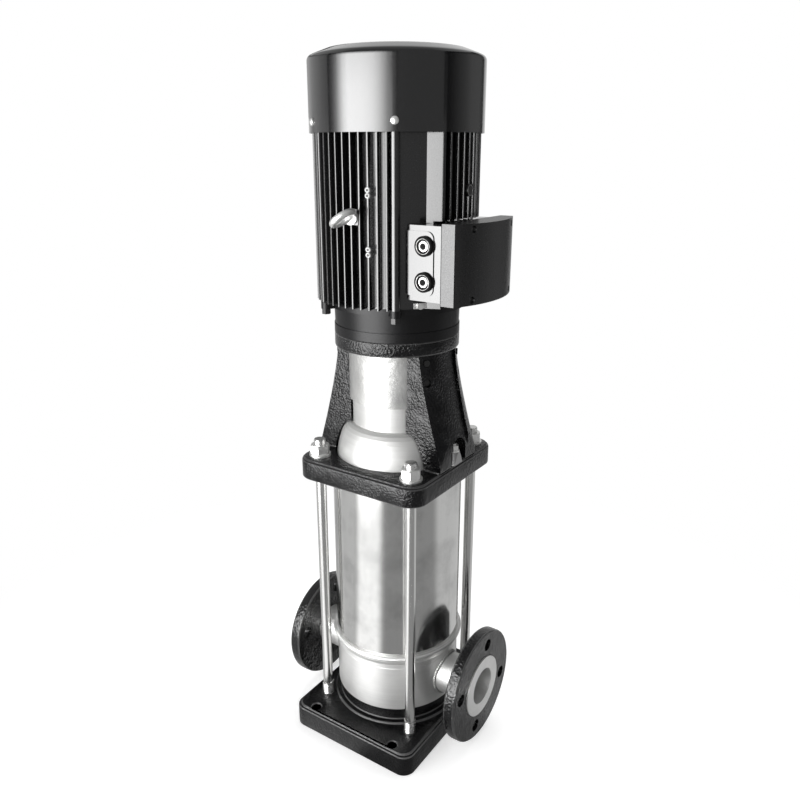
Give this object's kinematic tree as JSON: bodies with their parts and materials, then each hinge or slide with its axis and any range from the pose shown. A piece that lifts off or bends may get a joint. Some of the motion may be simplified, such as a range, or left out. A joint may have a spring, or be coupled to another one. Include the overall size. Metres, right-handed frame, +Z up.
{
  "type": "vertical pump",
  "caption": "Vertical in-line multistage pump: flanged foot casing, polished sleeve held by tie rods, cast motor stool and a finned, fan-cooled motor with a side terminal box.",
  "frame": {"origin": "under the middle of the base plate, on the floor plane and on the shaft axis", "axes": "+Z up along the shaft axis, +X out of the discharge port on the terminal box side, -Y towards the side with the lifting eye"},
  "size_m": [0.3, 0.2702, 0.95],
  "materials": {
    "black_cast_iron": "black paint over rough cast iron",
    "casing_steel": "fine satin stainless steel",
    "polished_steel": "polished stainless steel",
    "seal_rubber": "dull black rubber",
    "pressed_steel": "pressed stainless sheet",
    "bearing_carbide": "dark ground carbide",
    "shaft_steel": "ground steel",
    "rod_steel": "bright drawn stainless rod",
    "bright_fasteners": "bright plated or stainless fasteners",
    "dull_fasteners": "dull zinc-plated fasteners",
    "coupling_iron": "bare grey cast iron",
    "motor_paint": "black semi-gloss paint",
    "cowl_paint": "black gloss paint on steel sheet",
    "core_steel": "stacked core steel",
    "winding_copper": "varnished copper coils",
    "black_plastic": "moulded black plastic",
    "box_paint": "black gloss paint on a casting",
    "board_resin": "brown moulded resin",
    "terminal_brass": "plated brass"
  },
  "bodies": {
    "pump_body": {"base_plate": "black_cast_iron", "pump_casing": "casing_steel", "suction_stub": "casing_steel", "discharge_stub": "casing_steel", "drain_plug": "casing_steel", "outer_sleeve": "polished_steel", "sleeve_seals": "seal_rubber", "stage_chambers": "pressed_steel", "outlet_cage": "pressed_steel", "chamber_bushes": "bearing_carbide", "pump_head": "polished_steel", "seal_stationary": "bearing_carbide", "seal_gland": "shaft_steel", "gland_screws": "bright_fasteners", "tie_rods": "rod_steel", "rod_washers": "bright_fasteners", "rod_nuts": "bright_fasteners", "motor_stool": "black_cast_iron", "vent_body": "dull_fasteners", "front_guard": "pressed_steel", "rear_guard": "pressed_steel", "guard_screws": "bright_fasteners", "motor_bolts": "dull_fasteners", "drive_end_shield": "motor_paint", "shield_bolts": "dull_fasteners", "motor_frame": "motor_paint", "fan_end_shield": "motor_paint", "stator_core": "core_steel", "stator_windings": "winding_copper", "bearing_outer_rings": "shaft_steel", "bearing_balls": "shaft_steel", "fan_cowl": "cowl_paint", "cowl_screws": "bright_fasteners", "lifting_eye": "bright_fasteners", "plate_studs": "bright_fasteners", "frame_plug": "black_plastic", "earth_lug": "bright_fasteners", "terminal_base": "box_paint", "terminal_gasket": "seal_rubber", "terminal_cover": "box_paint", "cover_screws": "black_plastic", "entry_plugs": "black_plastic", "terminal_board": "board_resin", "terminal_studs": "terminal_brass"},
    "rotor": {"impellers": "pressed_steel", "shaft_spacers": "pressed_steel", "pump_shaft": "shaft_steel", "seal_rotary": "shaft_steel", "coupling_halves": "coupling_iron", "coupling_bolts": "dull_fasteners", "coupling_pin": "dull_fasteners", "motor_shaft": "shaft_steel", "rotor_core": "core_steel", "bearing_inner_rings": "shaft_steel", "cooling_fan": "black_plastic", "fan_clip": "bright_fasteners"},
    "discharge_ring": {"discharge_flange": "black_cast_iron"},
    "suction_ring": {"suction_flange": "black_cast_iron"},
    "vent_cap": {"vent_plug": "bright_fasteners"}
  },
  "joints": [
    {"name": "rotor_spin", "type": "hinge", "parent": "pump_body", "child": "rotor", "pos_m": [0, 0, 0.5], "axis": [0, 0, 1], "continuous": true},
    {"name": "discharge_flange_turn", "type": "hinge", "parent": "pump_body", "child": "discharge_ring", "pos_m": [0.1485, 0, 0.0925], "axis": [1, 0, 0], "continuous": true},
    {"name": "suction_flange_turn", "type": "hinge", "parent": "pump_body", "child": "suction_ring", "pos_m": [-0.1485, 0, 0.0925], "axis": [-1, 0, 0], "continuous": true},
    {"name": "vent_plug_turn", "type": "hinge", "parent": "pump_body", "child": "vent_cap", "pos_m": [0.092, 0, 0.45], "axis": [0, 0, 1], "range_deg": [0, 360]}
  ]
}
